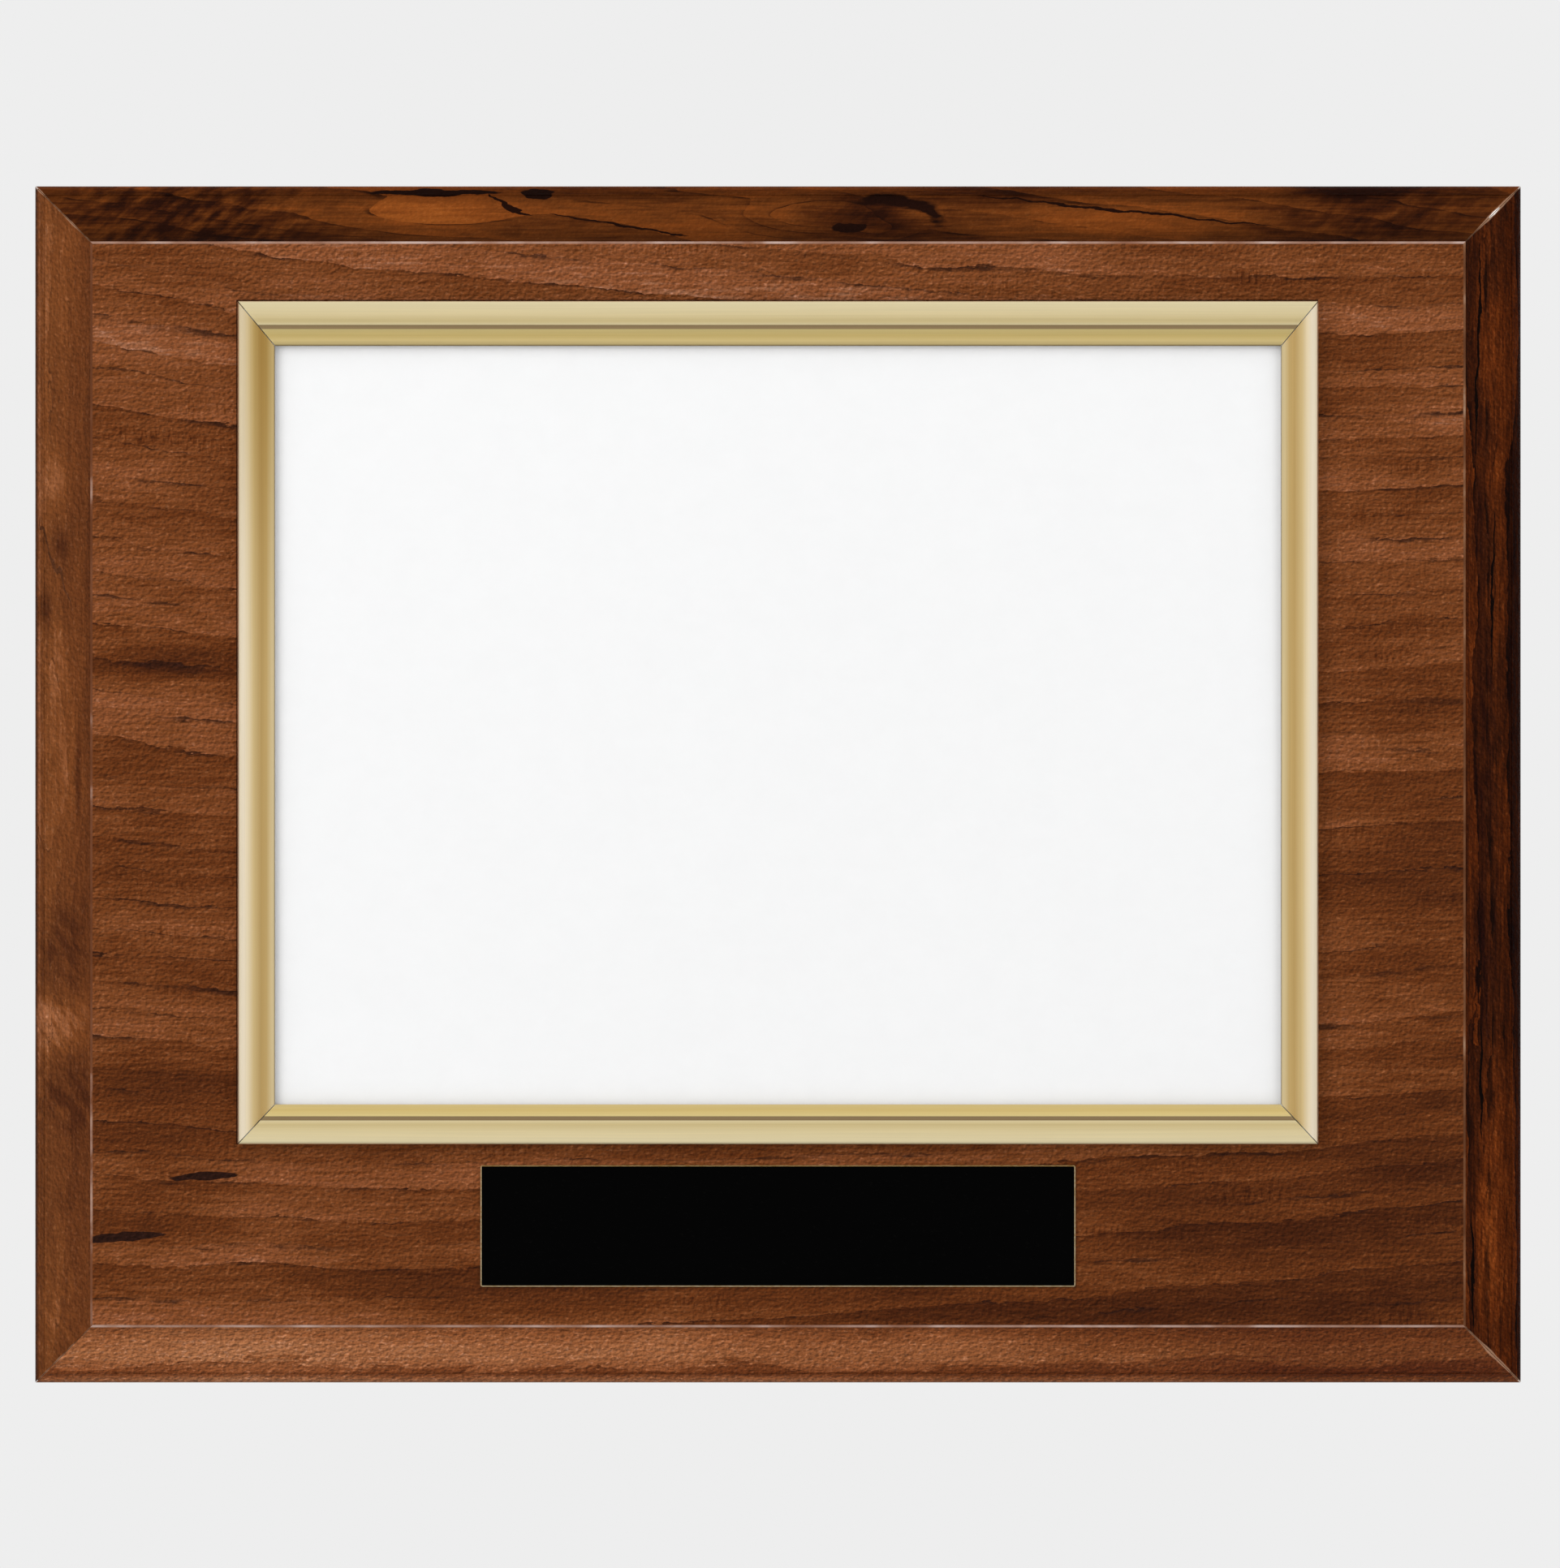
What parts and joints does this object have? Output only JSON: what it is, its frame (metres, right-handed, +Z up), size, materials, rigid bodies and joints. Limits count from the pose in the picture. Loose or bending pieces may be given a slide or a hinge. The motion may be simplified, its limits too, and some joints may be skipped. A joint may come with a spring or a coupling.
{
  "type": "certificate plaque",
  "caption": "Wall plaque with a bevelled wood-grain board, a gold slide-in frame that holds a certificate behind a clear cover, and a blank black name plate.",
  "frame": {"origin": "centre of the back of the board, on the wall", "axes": "+X to the right as seen from the front, +Z up, -Y out of the wall towards the viewer"},
  "size_m": [0.3878, 0.0224, 0.3122],
  "materials": {
    "fibreboard": "matte",
    "wood_laminate": "satin",
    "back_paper": "matte",
    "gold_aluminium": "satin",
    "zinced_steel": "satin",
    "grey_card": "matte",
    "paper": "matte",
    "clear_acrylic": "gloss",
    "black_brass": "gloss",
    "adhesive_film": "matte"
  },
  "bodies": {
    "board": {"core_board": "fibreboard", "face_laminate": "wood_laminate", "back_laminate": "back_paper", "edge_strip_top": "wood_laminate", "edge_strip_right": "wood_laminate", "edge_strip_bottom": "wood_laminate", "edge_strip_left": "wood_laminate", "frame_rail_top": "gold_aluminium", "frame_rail_right": "gold_aluminium", "frame_rail_bottom": "gold_aluminium", "frame_rail_left": "gold_aluminium", "corner_key_top_left": "zinced_steel", "corner_key_top_right": "zinced_steel", "corner_key_bottom_left": "zinced_steel", "corner_key_bottom_right": "zinced_steel", "rail_screw_right_1": "zinced_steel", "rail_screw_right_2": "zinced_steel", "rail_screw_right_3": "zinced_steel", "rail_screw_bottom_1": "zinced_steel", "rail_screw_bottom_2": "zinced_steel", "rail_screw_bottom_3": "zinced_steel", "rail_screw_left_1": "zinced_steel", "rail_screw_left_2": "zinced_steel", "rail_screw_left_3": "zinced_steel", "backing_card": "grey_card", "name_plate": "black_brass", "name_plate_adhesive": "adhesive_film"},
    "certificate": {"certificate": "paper"},
    "clear_cover": {"clear_cover": "clear_acrylic"}
  },
  "joints": [
    {"name": "certificate_slide", "type": "slide", "parent": "board", "child": "certificate", "axis": [0, 0, 1], "range_m": [0, 0.222]},
    {"name": "cover_slide", "type": "slide", "parent": "board", "child": "clear_cover", "axis": [0, 0, 1], "range_m": [0, 0.222]}
  ]
}
